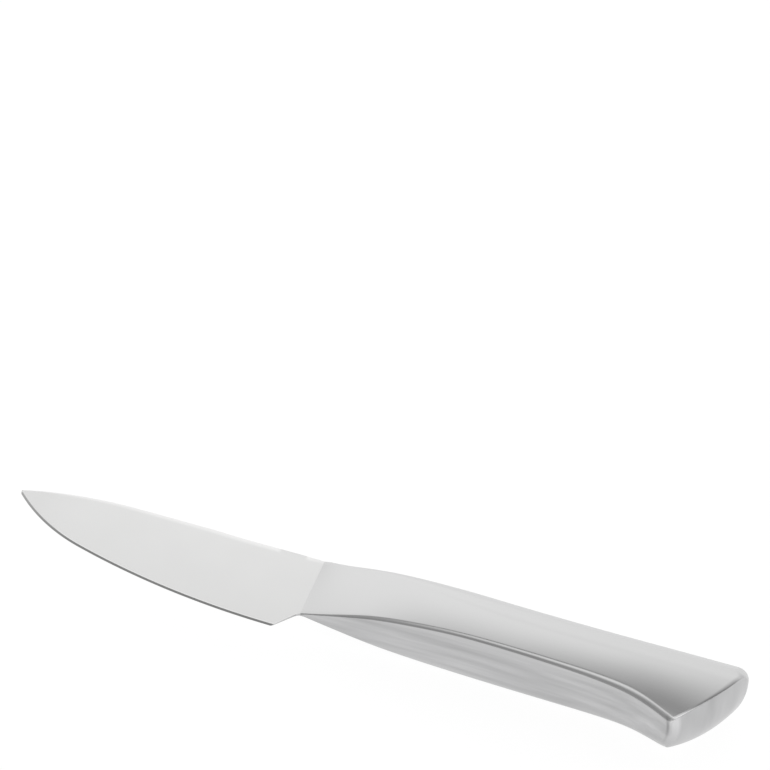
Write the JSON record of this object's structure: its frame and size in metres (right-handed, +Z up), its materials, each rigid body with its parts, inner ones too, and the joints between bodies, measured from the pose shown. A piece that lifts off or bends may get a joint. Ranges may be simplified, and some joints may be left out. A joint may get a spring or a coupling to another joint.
{
  "type": "paring knife",
  "caption": "All-steel paring knife with a short pointed blade, a stepped heel and a hollow welded handle that flares to a slanted butt.",
  "frame": {"origin": "under the middle of the knife's length and depth, at the height of its lowest point, with the knife lying on its side", "axes": "+X from the tip to the butt, +Y from the edge to the spine, +Z up, square to the blade's mid-plane"},
  "size_m": [0.2064, 0.0272, 0.0174],
  "materials": {
    "blade_steel": "satin ground, fine lines across the blade",
    "handle_steel": "fine satin on the sides, soft polish on belly and butt",
    "weld_steel": "ground flush and polished with the handle"
  },
  "bodies": {
    "root": {"blade": "blade_steel", "handle_shell_left": "handle_steel", "handle_shell_right": "handle_steel", "neck_weld": "weld_steel", "seam_weld": "weld_steel"}
  },
  "joints": []
}
